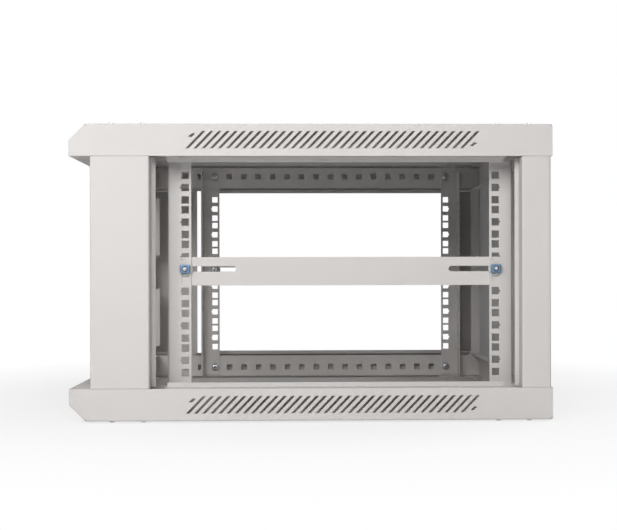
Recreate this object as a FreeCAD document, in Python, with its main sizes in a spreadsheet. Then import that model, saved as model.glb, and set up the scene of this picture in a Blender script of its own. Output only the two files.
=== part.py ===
"""A 6U wall mount rack cabinet, 600 mm wide and 600 mm deep, with its door and side panels off.

The front looks along -Y and the wall is behind the rear, at +Y. X = 0 and Y = 0 are the middle
of the cabinet, and Z = 0 is the surface that the heads of its lowest screws stand on.
Right is +X, as seen from the front. Every place below is an expression on the sheet "dims".
"""
import FreeCAD, Part
import math
import os
import Sketcher

DIMENSIONS = (
    # name, value in mm (or a count), what it is
    ("cab_width", 600, "width over both side skirts"),
    ("cab_depth", 600, "depth from the nose to the wall face"),
    ("cab_height", 368, "height over the top and bottom covers"),
    ("cover_sheet", 1.2, "sheet of the covers"),
    ("cover_bend", 2.0, "outside radius of the covers' folds"),
    ("skirt_height", 40, "height of a cover's skirts"),
    ("nose_chamfer", 20.5, "height and depth of the slanted face on a cover's nose"),
    ("nose_depth", 26.3, "depth of the nose in front of the frame, where the door sits"),
    ("nose_lip", 14, "height of the lip folded up behind the nose"),
    ("fit_gap", 0.3, "gap between the covers' free edges and the frame"),
    ("side_rebate", 22, "depth of the rebate that a side panel drops into"),
    ("return_lip", 5.5, "lip on a cover's return, along the rebate"),
    ("return_gap", 14.5, "gap from a post's lip to the end of the cover's return"),
    ("hook_length", 45, "length of a side panel's hook slot in the return"),
    ("hook_width", 8, "width of a hook slot"),
    ("hook_margin", 14.3, "from the end of the return to a hook slot"),
    ("corner_relief", 2.4, "side of the small notch at a fold's corner"),
    ("vent_pitch", 10, "distance from vent to vent"),
    ("vent_width", 4.2, "width of a vent, along the skirt"),
    ("vent_rise", 21.3, "height of a vent"),
    ("vent_run", 20.6, "how far a vent leans, from its lower to its upper end"),
    ("vent_margin", 37.8, "least distance from an end of the return to the middle of a vent"),
    ("stub_rise", 4.8, "height of the stub vent at each end of a row"),
    ("stub_offset", 5.6, "height of a stub above or below the middle of the row"),
    ("entry_width", 240, "width of the cable entry in a cover"),
    ("entry_depth", 60, "depth of the cable entry"),
    ("entry_margin", 45, "from the frame's rear plane to the cable entry"),
    ("entry_lap", 12, "how far the entry's cover plate laps the opening all round"),
    ("entry_corner", 6, "corner radius of the cable entry"),
    ("frame_sheet", 1.5, "sheet of the posts and the cross rails"),
    ("frame_bend", 2.5, "outside radius of the frame's folds"),
    ("front_post_face", 73, "width of a front post, seen from the side"),
    ("rear_post_face", 36, "width of a rear post, seen from the side"),
    ("post_lip", 5, "lip on a post's step, along the rebate"),
    ("post_tab", 73, "length of the tab at each end of a post"),
    ("front_lip_depth", 16, "depth of the lips on a front post's inner edge"),
    ("front_lip_gap", 58, "gap between the two lips, for the lock of the door"),
    ("front_lip_margin", 16, "from the end of a lip to the cover"),
    ("rear_lip_depth", 15, "depth of the lip on a rear post's inner edge"),
    ("rail_tab", 40, "length of the tab that carries a depth rail"),
    ("tab_corner", 6, "radius where the rear post's lip widens to its tab"),
    ("tab_screw_near", 25, "from the frame's plane to a cover's first screw"),
    ("tab_screw_far", 64, "from the frame's plane to a cover's second screw"),
    ("cross_lower", 1.5, "how far a rear cross rail shows past the cover's skirt"),
    ("cross_flange", 15, "depth of a cross rail's flanges"),
    ("cross_gap", 2.5, "gap between a cross rail's flanges and the posts' inner plane"),
    ("panel_sheet", 1.0, "sheet of the rear panel"),
    ("panel_lap", 11, "how far the rear panel laps a post's flange"),
    ("panel_tuck", 16, "how far the rear panel tucks behind a cover's skirt"),
    ("wall_slot_length", 16, "length of a wall fixing slot"),
    ("wall_slot_width", 8.5, "width of a wall fixing slot"),
    ("wall_slot_inset", 27, "from the side of the cabinet to a wall fixing slot"),
    ("wall_slot_drop", 64, "from a cover's outside to a wall fixing slot"),
    ("rail_inset", 55, "from the side of the cabinet to the outer face of its 19 inch rails"),
    ("depth_sheet", 2.0, "sheet of the depth rails"),
    ("depth_rail_height", 36.5, "height of a depth rail"),
    ("depth_rail_flange", 12, "from a depth rail's web to its back"),
    ("depth_rail_back", 31, "height of that back, which hides the vents behind the holes"),
    ("depth_hole_pitch", 25, "distance between a depth rail's holes"),
    ("depth_hole_end", 5.5, "least distance from a depth rail's rear end to its last hole"),
    ("depth_hole_margin", 10.2, "from a depth rail's front end to its first hole"),
    ("depth_hole_drop", 16.3, "from a depth rail's outer edge to its row of holes"),
    ("front_rail_step", 4, "depth rail holes in front of the front rails' screws"),
    ("rear_rail_step", 2, "depth rail holes behind the rear rails' screws"),
    ("rack_sheet", 2.0, "sheet of the 19 inch rails"),
    ("rack_bend", 3.0, "outside radius of the 19 inch rails' folds"),
    ("rack_units", 6, "height of the rack in units"),
    ("unit_height", 44.45, "height of one rack unit"),
    ("unit_hole_step", 15.875, "from the middle hole of a unit to its other two"),
    ("rack_column_inset", 12.45, "from a rail's outer face to its column of mounting holes"),
    ("rack_flange", 20, "width of a rail's mounting flange"),
    ("rack_end_gap", 9, "how much a 19 inch rail is shorter than the cabinet at each end"),
    ("rack_drop", 2.2, "how far the rack sits below mid height"),
    ("rack_side_flange", 30, "depth of a rail's side flange"),
    ("rack_side_column", 22.2, "from the mounting face to the side flange's holes"),
    ("square_hole", 9.5, "side of a square hole for a cage nut"),
    ("notch_depth", 2.2, "depth of the notch that marks a unit's middle hole"),
    ("notch_height", 3.6, "height of that notch"),
    ("end_slot_length", 14, "length of the slot at a rail's end"),
    ("end_slot_width", 7, "width of that slot"),
    ("end_slot_drop", 3, "from the depth rail's holes to the middle of the slot"),
    ("brace_sheet", 1.5, "sheet of a side brace"),
    ("brace_height", 36.5, "height of a side brace"),
    ("brace_drop", 3, "from a brace's slots down to the middle of its height"),
    ("brace_hole", 9, "which hole of the rail, from the top, takes the brace's screw"),
    ("brace_shift", 2.45, "how far a brace sits behind the middle of its two screws"),
    ("brace_slot_back", 62.75, "from a screw, toward the brace's middle, to its slot's end"),
    ("brace_slot_length", 69, "length of a brace's slot"),
    ("brace_slot_width", 7, "width of that slot"),
    ("brace_end", 8, "metal between a slot and the end of the brace"),
    ("rack_screw_size", 6, "thread of the rack screws"),
    ("thread_gap", 0.2, "gap on the diameter between a screw and its thread"),
    ("rack_head_width", 11.6, "width of a rack screw's head"),
    ("rack_head_height", 3.6, "height of that head"),
    ("rack_screw_length", 12, "length of a rack screw under its head"),
    ("head_rim", 0.45, "share of a head's height that is straight-sided"),
    ("head_crown", 0.72, "share of a head's width that is flat on top"),
    ("screw_sides", 12, "flat sides that stand for the round form of a screw or its hole"),
    ("recess_width", 5.6, "span of the cross recess in a rack screw"),
    ("recess_slot", 1.3, "width of each arm of the recess"),
    ("recess_depth", 2.0, "depth of the recess"),
    ("cage_sheet", 0.6, "spring steel of a cage"),
    ("cage_height", 9.2, "height of a cage"),
    ("cage_leg", 1.4, "how far a cage's legs reach into the square hole"),
    ("cage_window", 7.4, "side of the square window that the screw passes in a cage"),
    ("nut_width", 11.2, "side of the square nut in a cage"),
    ("nut_height", 4.0, "height of that nut"),
    ("nut_gap", 0.2, "play of the nut in its cage"),
    ("washer_width", 18.4, "width of the plastic washer behind a brace's cage"),
    ("washer_sheet", 0.8, "thickness of that washer"),
    ("washer_sides", 24, "flat sides that stand for the washer's round form"),
    ("cover_screw_size", 4, "thread of the cover screws"),
    ("cover_hole", 4.6, "hole for a cover screw"),
    ("cover_screw_inset", 12, "from the side of the cabinet to a cover screw"),
    ("cover_head_width", 7.2, "width of a cover screw's head"),
    ("cover_head_height", 2.6, "height of that head"),
    ("cover_screw_length", 8, "length of a cover screw under its head"),
    ("cover_recess", 3.4, "span of the cross recess in a cover screw"),
    ("cover_recess_slot", 0.9, "width of each arm of that recess"),
    ("cover_recess_depth", 1.4, "depth of that recess"),
    ("entry_sheet", 1.2, "sheet of a cable entry's cover plate"),
    ("overcut", 1, "how far a cut runs past the metal, so that it leaves no skin"),
)

document = FreeCAD.newDocument("wall_rack_cabinet")
dims = document.addObject("Spreadsheet::Sheet", "dims")
for row, (name, value, note) in enumerate(DIMENSIONS, start=1):
    dims.set(f"A{row}", name)
    dims.set(f"B{row}", str(value))
    dims.set(f"C{row}", note)
    dims.setAlias(f"B{row}", name)
document.recompute()

# Levels and planes of the cabinet, each written once.
HALF_WIDTH = "(dims.cab_width / 2)"
HALF_DEPTH = "(dims.cab_depth / 2)"
HALF_HEIGHT = "(dims.cab_height / 2)"
MID = f"(dims.cover_head_height + {HALF_HEIGHT})"
OPENING = f"({HALF_HEIGHT} - dims.skirt_height)"
COVER_INSIDE = f"({HALF_HEIGHT} - dims.cover_sheet)"
RAIL_TOP = f"({COVER_INSIDE} - dims.frame_sheet)"
RAIL_LOW = f"({RAIL_TOP} - dims.depth_rail_height)"
HOLE_ROW = f"({RAIL_TOP} - dims.depth_hole_drop)"
FRONT_PLANE = f"(dims.nose_depth - {HALF_DEPTH})"
REAR_PLANE = f"({HALF_DEPTH} - dims.cover_sheet - dims.panel_sheet)"
REBATE = f"({HALF_WIDTH} - dims.side_rebate)"
RAIL_OUT = f"({HALF_WIDTH} - dims.rail_inset)"
FLANGE_IN = f"({RAIL_OUT} + dims.depth_sheet)"
DEPTH_FRONT = f"({FRONT_PLANE} + dims.frame_sheet)"
DEPTH_REAR = f"({REAR_PLANE} - dims.frame_sheet)"
FIRST_HOLE = f"({DEPTH_FRONT} + dims.depth_hole_margin)"
FRONT_COLUMN = f"({FIRST_HOLE} + dims.front_rail_step * dims.depth_hole_pitch)"
HOLE_COUNT = (f"(floor(({DEPTH_REAR} - {FIRST_HOLE} - dims.depth_hole_end)"
              " / dims.depth_hole_pitch) + 1)")
REAR_COLUMN = (f"({FIRST_HOLE}"
               f" + ({HOLE_COUNT} - 1 - dims.rear_rail_step) * dims.depth_hole_pitch)")
RETURN_FRONT = f"({FRONT_PLANE} + dims.front_post_face + dims.post_lip + dims.return_gap)"
RETURN_REAR = f"({REAR_PLANE} - dims.rear_post_face - dims.post_lip - dims.return_gap)"
VENT_COUNT = (f"(floor(({RETURN_REAR} - {RETURN_FRONT} - 2 * dims.vent_margin)"
              " / dims.vent_pitch) + 1)")
ENTRY_SCREW_Y = f"({REAR_PLANE} - dims.entry_margin - dims.entry_depth / 2)"
RACK_COLUMN = f"({RAIL_OUT} - dims.rack_column_inset)"
RACK_TIP = f"({RAIL_OUT} - dims.rack_flange)"
RACK_MID = f"({MID} - dims.rack_drop)"
RACK_TOP_HOLE = (f"({RACK_MID} + (dims.rack_units - 1) * dims.unit_height / 2"
                 " + dims.unit_hole_step)")
# The ninth hole from the top is the lowest of the third unit.
BRACE_LEVEL = (f"({RACK_TOP_HOLE} - floor((dims.brace_hole - 1) / 3) * dims.unit_height"
               " - mod(dims.brace_hole - 1; 3) * dims.unit_hole_step)")
INNER_FOLD = "(sqrt(2) - 1)"
CAGE_TOP = "(dims.nut_height + 2 * dims.nut_gap + 2 * dims.cage_sheet)"

AXES = {"X": FreeCAD.Vector(1, 0, 0), "Y": FreeCAD.Vector(0, 1, 0), "Z": FreeCAD.Vector(0, 0, 1)}
PLANES = {"X": "YZ_Plane", "Y": "XZ_Plane", "Z": "XY_Plane"}
SUBPARTS = []


def value(text):
    """Works out an expression on the sheet as a number."""
    return float(dims.evalExpression(str(text)))


def height(up, distance):
    """The level at a distance above (up = 1) or below (up = -1) mid height."""
    return f"({MID} + {up} * {distance})"


def add_body(label):
    body = document.addObject("PartDesign::Body", label)
    body.Label = label
    body.Placement = FreeCAD.Placement()
    SUBPARTS.append(body)
    return body


def origin_item(body, role):
    return next(item for item in body.Origin.OriginFeatures if item.Role == role)


def add_sketch(body, name, axis, offset):
    """A sketch across the X, Y or Z axis, at an offset along it."""
    sketch = body.newObject("Sketcher::SketchObject", name)
    sketch.AttachmentSupport = [(origin_item(body, PLANES[axis]), "")]
    sketch.MapMode = "FlatFace"
    # The plane across Y faces -Y, so an offset along +Y counts backwards there.
    sign = "-" if axis == "Y" else ""
    sketch.setExpression("AttachmentOffset.Base.z", f"{sign}({offset})")
    return sketch


def tie(sketch, kind, items, text):
    """Adds a dimension to a sketch and ties it to an expression."""
    index = sketch.addConstraint(Sketcher.Constraint(kind, *items, value(text)))
    name = f"size_{index}"
    sketch.renameConstraint(index, name)
    sketch.setExpression(f"Constraints.{name}", str(text))


def draw_outline(sketch, corners):
    """A closed outline of straight lines, each corner an (x, y) pair of expressions."""
    spots = [FreeCAD.Vector(value(x), value(y), 0) for x, y in corners]
    first = sketch.GeometryCount
    count = len(corners)
    for index in range(count):
        sketch.addGeometry(Part.LineSegment(spots[index], spots[(index + 1) % count]))
    for index in range(count):
        following = first + (index + 1) % count
        sketch.addConstraint(Sketcher.Constraint("Coincident", first + index, 2, following, 1))
    for index, (x, y) in enumerate(corners):
        tie(sketch, "DistanceX", (first + index, 1), x)
        tie(sketch, "DistanceY", (first + index, 1), y)


def draw_rectangle(sketch, x_low, x_high, y_low, y_high):
    draw_outline(sketch, [(x_low, y_low), (x_high, y_low), (x_high, y_high), (x_low, y_high)])


def draw_slot(sketch, start, end, width):
    """A round-ended slot between the middles of its two ends."""
    a = FreeCAD.Vector(value(start[0]), value(start[1]), 0)
    b = FreeCAD.Vector(value(end[0]), value(end[1]), 0)
    radius = value(width) / 2
    along = (b - a).normalize() * radius
    side = FreeCAD.Vector(-along.y, along.x, 0)
    first = sketch.GeometryCount
    sketch.addGeometry(Part.LineSegment(a - side, b - side))
    sketch.addGeometry(Part.Arc(b - side, b + along, b + side))
    sketch.addGeometry(Part.LineSegment(b + side, a + side))
    sketch.addGeometry(Part.Arc(a + side, a - along, a - side))
    for index in range(4):
        following = first + (index + 1) % 4
        sketch.addConstraint(Sketcher.Constraint("Tangent", first + index, 2, following, 1))
    for index, (x, y) in ((first + 1, end), (first + 3, start)):
        tie(sketch, "DistanceX", (index, 3), x)
        tie(sketch, "DistanceY", (index, 3), y)
    sketch.addConstraint(Sketcher.Constraint("Equal", first + 1, first + 3))
    tie(sketch, "Diameter", (first + 1,), width)


def pad(body, name, axis, low, high, draw):
    """Fills what draw puts on a sketch, from low to high along the axis."""
    sketch = add_sketch(body, f"{name}_sketch", axis, high if axis == "Y" else low)
    draw(sketch)
    feature = body.newObject("PartDesign::Pad", name)
    feature.Profile = sketch
    feature.setExpression("Length", f"({high}) - ({low})")
    document.recompute()
    return feature


def pocket(body, name, axis, low, high, draw):
    """Cuts what draw puts on a sketch, from low to high along the axis."""
    before = body.Shape.Volume
    sketch = add_sketch(body, f"{name}_sketch", axis, low if axis == "Y" else high)
    draw(sketch)
    feature = body.newObject("PartDesign::Pocket", name)
    feature.Profile = sketch
    feature.setExpression("Length", f"({high}) - ({low})")
    document.recompute()
    if body.Shape.Volume > before - 0.01:
        raise RuntimeError(f"{name} cuts nothing from {body.Label}")
    return feature


def drill(body, name, spots, low, high, width):
    """Cuts screw holes along Z at the (x, y) spots, with as many flat sides as the screws."""
    before = body.Shape.Volume
    for index, (x, y) in enumerate(spots):
        hole = body.newObject("PartDesign::SubtractivePrism", f"{name}_{index}")
        hole.AttachmentSupport = [(origin_item(body, PLANES["Z"]), "")]
        hole.MapMode = "FlatFace"
        for direction, place in (("x", x), ("y", y), ("z", low)):
            hole.setExpression(f"AttachmentOffset.Base.{direction}", place)
        hole.setExpression("Polygon", "dims.screw_sides")
        hole.setExpression("Circumradius", f"{width} / 2")
        hole.setExpression("Height", f"({high}) - ({low})")
    document.recompute()
    if body.Shape.Volume > before - 0.01:
        raise RuntimeError(f"{name} cuts nothing from {body.Label}")


def repeat(body, feature, axis, pitch, count):
    """Repeats a feature along an axis of the body; a pitch below zero runs backwards."""
    pattern = body.newObject("PartDesign::LinearPattern", f"{feature.Name}_row")
    pattern.Originals = [feature]
    pattern.Direction = (origin_item(body, f"{axis}_Axis"), [""])
    pattern.Mode = "Spacing"
    pattern.Reversed = value(pitch) < 0
    pattern.setExpression("Offset", f"abs({pitch})")
    pattern.setExpression("Occurrences", count)
    body.Tip = pattern
    document.recompute()
    return pattern


def straight_edges(shape, axis, spots):
    """Names the edges parallel to an axis that pass through the given spots across it."""
    direction = AXES[axis]
    found = []
    wanted = [FreeCAD.Vector(*[value(part) for part in spot]) for spot in spots]
    for index, edge in enumerate(shape.Edges, start=1):
        start = edge.Vertexes[0].Point
        run = edge.Vertexes[-1].Point - start
        if abs(abs(run.dot(direction)) - edge.Length) > 1e-4:
            continue
        for spot in wanted:
            apart = start - spot
            if (apart - direction * apart.dot(direction)).Length < 0.01:
                found.append(f"Edge{index}")
    if len(found) < len(spots):
        raise RuntimeError("a fold's edge is missing")
    return found


def round_folds(body, name, axis, spots, radius):
    """Rounds the folds that run along an axis through the spots."""
    base = body.Tip
    names = straight_edges(base.Shape, axis, spots)
    fillet = body.newObject("PartDesign::Fillet", name)
    fillet.Base = (base, names)
    fillet.setExpression("Radius", radius)
    document.recompute()
    return fillet


def make_cover(label, up):
    """A folded cover: plate, skirts, vents, nose and the returns that take a side panel."""
    body = add_body(label)
    edge = height(up, OPENING)
    inside = height(up, COVER_INSIDE)
    outside = height(up, HALF_HEIGHT)
    slant = height(up, f"({HALF_HEIGHT} - dims.nose_chamfer)")

    pad(body, f"{label}_block", "X", f"-{HALF_WIDTH}", HALF_WIDTH, lambda sketch: draw_outline(
        sketch, [(f"-{HALF_DEPTH}", edge), (HALF_DEPTH, edge), (HALF_DEPTH, outside),
                 (f"dims.nose_chamfer - {HALF_DEPTH}", outside), (f"-{HALF_DEPTH}", slant)]))
    folds = [edge_name for edge_name, item in
             ((f"Edge{index}", item) for index, item in enumerate(body.Shape.Edges, start=1))
             if abs(item.CenterOfMass.z - value(edge)) > 0.01
             and not (abs(item.Curve.Direction.z) > 0.99 and item.CenterOfMass.y > 0)]
    block = body.Tip
    rounded = body.newObject("PartDesign::Fillet", f"{label}_folds")
    rounded.Base = (block, folds)
    rounded.setExpression("Radius", "dims.cover_bend")
    document.recompute()

    # The wall of the shell: everything inside the sheet is taken out from the open side.
    fold = f"dims.cover_sheet * {INNER_FOLD}"
    cut_slant = height(up, f"({HALF_HEIGHT} - dims.nose_chamfer - {fold})")
    pocket(body, f"{label}_hollow", "X", f"dims.cover_sheet - {HALF_WIDTH}",
           f"{HALF_WIDTH} - dims.cover_sheet", lambda sketch: draw_outline(
               sketch, [(f"dims.cover_sheet - {HALF_DEPTH}", edge),
                        (f"{HALF_DEPTH} - dims.cover_sheet", edge),
                        (f"{HALF_DEPTH} - dims.cover_sheet", inside),
                        (f"dims.nose_chamfer + {fold} - {HALF_DEPTH}", inside),
                        (f"dims.cover_sheet - {HALF_DEPTH}", cut_slant)]))

    # Screw holes over the posts' tabs and beside the cable entry, which is near the rear.
    plate = sorted((inside, outside), key=value)
    drill(body, f"{label}_screw_hole", cover_screw_places(), *plate, "dims.cover_hole")
    rear = f"({REAR_PLANE} - dims.entry_margin)"
    pocket(body, f"{label}_entry", "Z", *plate, lambda sketch: draw_rectangle(
        sketch, "-dims.entry_width / 2", "dims.entry_width / 2", f"{rear} - dims.entry_depth",
        rear))
    round_folds(body, f"{label}_entry_corners", "Z", [
        (f"{side} * dims.entry_width / 2", spot, "0") for side in (1, -1)
        for spot in (rear, f"{rear} - dims.entry_depth")],
        "dims.entry_corner")

    # The nose is closed underneath, and its lip turns up just in front of the frame.
    behind = f"({FRONT_PLANE} - dims.fit_gap)"
    skin = height(up, f"({OPENING} + dims.cover_sheet)")
    lip = height(up, f"({OPENING} + dims.nose_lip)")
    inner_half = f"({HALF_WIDTH} - dims.cover_sheet / 2)"
    pad(body, f"{label}_nose", "X", f"-{inner_half}", inner_half, lambda sketch: draw_outline(
        sketch, [(f"dims.cover_sheet / 2 - {HALF_DEPTH}", edge), (behind, edge), (behind, lip),
                 (f"{behind} - dims.cover_sheet", lip), (f"{behind} - dims.cover_sheet", skin),
                 (f"dims.cover_sheet / 2 - {HALF_DEPTH}", skin)]))

    # Each return runs inward from the skirt's edge and ends in a lip along the rebate.
    lip_end = height(up, f"({OPENING} - dims.return_lip)")

    def draw_returns(sketch):
        for side in (1, -1):
            draw_outline(sketch, [
                (f"{side} * ({HALF_WIDTH} - dims.cover_sheet / 2)", edge),
                (f"{side} * ({HALF_WIDTH} - dims.cover_sheet / 2)", skin),
                (f"{side} * ({REBATE} - dims.cover_sheet)", skin),
                (f"{side} * ({REBATE} - dims.cover_sheet)", lip_end),
                (f"{side} * {REBATE}", lip_end),
                (f"{side} * {REBATE}", edge)])

    pad(body, f"{label}_returns", "Y", RETURN_FRONT, RETURN_REAR, draw_returns)
    round_folds(body, f"{label}_edge_folds", "Y", [
        (f"{side} * ({REBATE} - dims.cover_sheet)", "0", skin) for side in (1, -1)],
        "dims.cover_bend")

    # Hook slots for the side panels.
    def draw_hooks(sketch):
        for side in (1, -1):
            inner = f"{side} * ({REBATE} + (dims.side_rebate - dims.hook_width) / 2)"
            outer = f"{side} * ({REBATE} + (dims.side_rebate + dims.hook_width) / 2)"
            for start in (f"({RETURN_FRONT} + dims.hook_margin)",
                          f"({RETURN_REAR} - dims.hook_margin - dims.hook_length)"):
                draw_rectangle(sketch, inner, outer, start, f"{start} + dims.hook_length")

    pocket(body, f"{label}_hooks", "Z", min(edge, skin, key=value), max(edge, skin, key=value),
           draw_hooks)

    # One slanted vent goes through both skirts, and the row follows it.
    centre = height(up, f"({HALF_HEIGHT} - dims.skirt_height / 2)")
    vent_y = f"({RETURN_FRONT} + dims.vent_margin)"

    slope = "dims.vent_run / dims.vent_rise"
    half = "dims.vent_width / 2"

    def draw_vent(sketch, middle_y, middle_z, rise):
        lean = f"({rise} * {slope} / 2)"
        draw_outline(sketch, [
            (f"{middle_y} - {lean} - {half}", f"{middle_z} - {rise} / 2"),
            (f"{middle_y} - {lean} + {half}", f"{middle_z} - {rise} / 2"),
            (f"{middle_y} + {lean} + {half}", f"{middle_z} + {rise} / 2"),
            (f"{middle_y} + {lean} - {half}", f"{middle_z} + {rise} / 2")])

    def draw_stub(sketch, middle_y, middle_z):
        """A short vent whose two pointed corners are cut off, so that its ends look round."""
        lean = f"(dims.stub_rise * {slope} / 2)"
        rise = "dims.stub_rise / 2"
        draw_outline(sketch, [
            (f"{middle_y} - {lean}", f"{middle_z} - {rise}"),
            (f"{middle_y} - {lean} + {half}", f"{middle_z} - {rise}"),
            (f"{middle_y} + {half}", f"{middle_z}"),
            (f"{middle_y} + {lean} + {half}", f"{middle_z} + {rise} / 2"),
            (f"{middle_y} + {lean}", f"{middle_z} + {rise}"),
            (f"{middle_y} + {lean} - {half}", f"{middle_z} + {rise}"),
            (f"{middle_y} - {half}", f"{middle_z}"),
            (f"{middle_y} - {lean} - {half}", f"{middle_z} - {rise} / 2")])

    def draw_stubs(sketch):
        last = f"({vent_y} + ({VENT_COUNT} - 1) * dims.vent_pitch)"
        draw_stub(sketch, f"({vent_y} - dims.vent_pitch + dims.stub_offset * {slope})",
                  f"({centre} + dims.stub_offset)")
        draw_stub(sketch, f"({last} + dims.vent_pitch - dims.stub_offset * {slope})",
                  f"({centre} - dims.stub_offset)")

    across = (f"-{HALF_WIDTH} - dims.overcut", f"{HALF_WIDTH} + dims.overcut")
    pocket(body, f"{label}_stubs", "X", *across, draw_stubs)
    vent = pocket(body, f"{label}_vent", "X", *across,
                  lambda sketch: draw_vent(sketch, vent_y, centre, "dims.vent_rise"))
    repeat(body, vent, "Y", "dims.vent_pitch", VENT_COUNT)

    # The sheet is notched where three folds meet, at the rear corners and above the nose.
    def draw_reliefs(sketch):
        for side in (1, -1):
            inner = f"{side} * ({HALF_WIDTH} - dims.corner_relief)"
            outer = f"{side} * ({HALF_WIDTH} + dims.overcut)"
            draw_rectangle(sketch, inner, outer, f"{HALF_DEPTH} - dims.corner_relief",
                           f"{HALF_DEPTH} + dims.overcut")
            chamfer_top = f"dims.nose_chamfer - {HALF_DEPTH}"
            draw_rectangle(sketch, inner, outer, f"{chamfer_top} - dims.corner_relief / 2",
                           f"{chamfer_top} + dims.corner_relief / 2")

    relief_level = height(up, f"({HALF_HEIGHT} - dims.corner_relief)")
    pocket(body, f"{label}_reliefs", "Z", min(relief_level, outside, key=value),
           max(relief_level, outside, key=value), draw_reliefs)

    return body


def entry_screw_x(side):
    """How far to a side the screw stands that holds a cable entry's plate."""
    return f"{side} * (dims.entry_width + dims.entry_lap) / 2"


def cover_screw_spots():
    """The four places along a side, from front to rear, where a cover is screwed down."""
    return (f"({FRONT_PLANE} + dims.tab_screw_near)", f"({FRONT_PLANE} + dims.tab_screw_far)",
            f"({REAR_PLANE} - dims.tab_screw_far)", f"({REAR_PLANE} - dims.tab_screw_near)")


def cover_screw_places():
    """All the (x, y) places of the screws in a cover: two at its entry and four on each side."""
    places = [(entry_screw_x(side), ENTRY_SCREW_Y) for side in (1, -1)]
    for side in (1, -1):
        places += [(f"{side} * ({HALF_WIDTH} - dims.cover_screw_inset)", spot)
                   for spot in cover_screw_spots()]
    return places


def make_post(label, side, front):
    """A folded corner post; front posts carry the door's frame, rear posts the wall fixings."""
    body = add_body(label)
    plane = FRONT_PLANE if front else REAR_PLANE
    inward = 1 if front else -1
    face = "dims.front_post_face" if front else "dims.rear_post_face"
    sheet = "dims.frame_sheet"

    def x(distance):
        return f"{side} * ({distance})"

    def y(distance):
        return f"{plane} + {inward} * ({distance})"

    def span(near, far):
        near, far = y(near), y(far)
        return (near, far) if front else (far, near)

    # The main fold: flange, side face, step and lip, between the covers.
    reach = f"({OPENING} - dims.fit_gap)"
    pad(body, f"{label}_fold", "Z", height(-1, reach), height(1, reach),
        lambda sketch: draw_outline(sketch, [
            (x(FLANGE_IN), y("0")),
            (x(HALF_WIDTH), y("0")),
            (x(HALF_WIDTH), y(face)),
            (x(REBATE), y(face)),
            (x(REBATE), y(f"{face} + dims.post_lip")),
            (x(f"{REBATE} - {sheet}"), y(f"{face} + dims.post_lip")),
            (x(f"{REBATE} - {sheet}"), y(f"{face} - {sheet}")),
            (x(f"{HALF_WIDTH} - {sheet}"), y(f"{face} - {sheet}")),
            (x(f"{HALF_WIDTH} - {sheet}"), y(sheet)),
            (x(FLANGE_IN), y(sheet))]))
    outer = [(x(HALF_WIDTH), y("0"), "0"), (x(HALF_WIDTH), y(face), "0"),
             (x(f"{REBATE} - {sheet}"), y(f"{face} - {sheet}"), "0")]
    inner = [(x(f"{HALF_WIDTH} - {sheet}"), y(sheet), "0"),
             (x(f"{HALF_WIDTH} - {sheet}"), y(f"{face} - {sheet}"), "0"),
             (x(REBATE), y(face), "0")]
    round_folds(body, f"{label}_outer_folds", "Z", outer, "dims.frame_bend")
    round_folds(body, f"{label}_inner_folds", "Z", inner, f"dims.frame_bend - {sheet}")

    # The flange runs on inside the covers, and each end folds over into a tab for the screws.
    inside_skirt = f"({HALF_WIDTH} - dims.cover_sheet - dims.fit_gap)"
    pad(body, f"{label}_flange", "Y", *span("0", sheet), lambda sketch: draw_rectangle(
        sketch, x(FLANGE_IN), x(inside_skirt), height(-1, COVER_INSIDE),
        height(1, COVER_INSIDE)))
    for up, end in ((1, "top"), (-1, "bottom")):
        levels = sorted((height(up, RAIL_TOP), height(up, COVER_INSIDE)), key=value)
        pad(body, f"{label}_{end}_tab", "Z", *levels, lambda sketch: draw_rectangle(
            sketch, x(FLANGE_IN), x(inside_skirt), *span("0", "dims.post_tab")))
    spots = cover_screw_spots()[:2] if front else cover_screw_spots()[2:]
    drill(body, f"{label}_tapped", [(x(f"{HALF_WIDTH} - dims.cover_screw_inset"), spot)
                                    for spot in spots],
          height(-1, COVER_INSIDE), height(1, COVER_INSIDE), "dims.cover_screw_size")
    round_folds(body, f"{label}_tab_folds", "X", [
        ("0", y("0"), height(up, COVER_INSIDE)) for up in (1, -1)], "dims.frame_bend")

    # The inner edge: lips with a gap for the lock in front, one full lip at the rear.
    skin = sorted((x(FLANGE_IN), x(f"{FLANGE_IN} + {sheet}")), key=value)
    tab_top = f"({RAIL_TOP} - dims.depth_sheet)"
    if front:
        lip = "dims.front_lip_depth"
        lip_reach = f"({OPENING} - dims.front_lip_margin)"
    else:
        lip = "dims.rear_lip_depth"
        lip_reach = tab_top
    pad(body, f"{label}_lip", "X", *skin, lambda sketch: draw_rectangle(
        sketch, *span("0", lip), height(-1, lip_reach), height(1, lip_reach)))
    tab = "dims.front_lip_depth" if front else "dims.rail_tab"
    if front:
        pocket(body, f"{label}_lock_gap", "X", *skin, lambda sketch: draw_rectangle(
            sketch, *span(sheet, f"{lip} + dims.overcut"), f"{MID} - dims.front_lip_gap / 2",
            f"{MID} + dims.front_lip_gap / 2"))

    # Tabs that the depth rails are welded to.
    def draw_rail_tabs(sketch):
        for up in (1, -1):
            draw_rectangle(sketch, *span("0", tab), height(up, RAIL_LOW), height(up, tab_top))

    pad(body, f"{label}_rail_tabs", "X", *skin, draw_rail_tabs)
    if not front:
        round_folds(body, f"{label}_tab_corners", "X", [
            ("0", y(lip), height(up, RAIL_LOW)) for up in (1, -1)], "dims.tab_corner")
        wall_span = "(dims.wall_slot_length - dims.wall_slot_width) / 2"
        wall_slot_x = f"{HALF_WIDTH} - dims.wall_slot_inset"

        def draw_wall_slots(sketch):
            for up in (1, -1):
                level = height(up, f"({HALF_HEIGHT} - dims.wall_slot_drop)")
                draw_slot(sketch, (x(f"{wall_slot_x} - {wall_span}"), level),
                          (x(f"{wall_slot_x} + {wall_span}"), level),
                          "dims.wall_slot_width")

        pocket(body, f"{label}_wall_slots", "Y", *span("0", sheet), draw_wall_slots)
    return body


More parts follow.
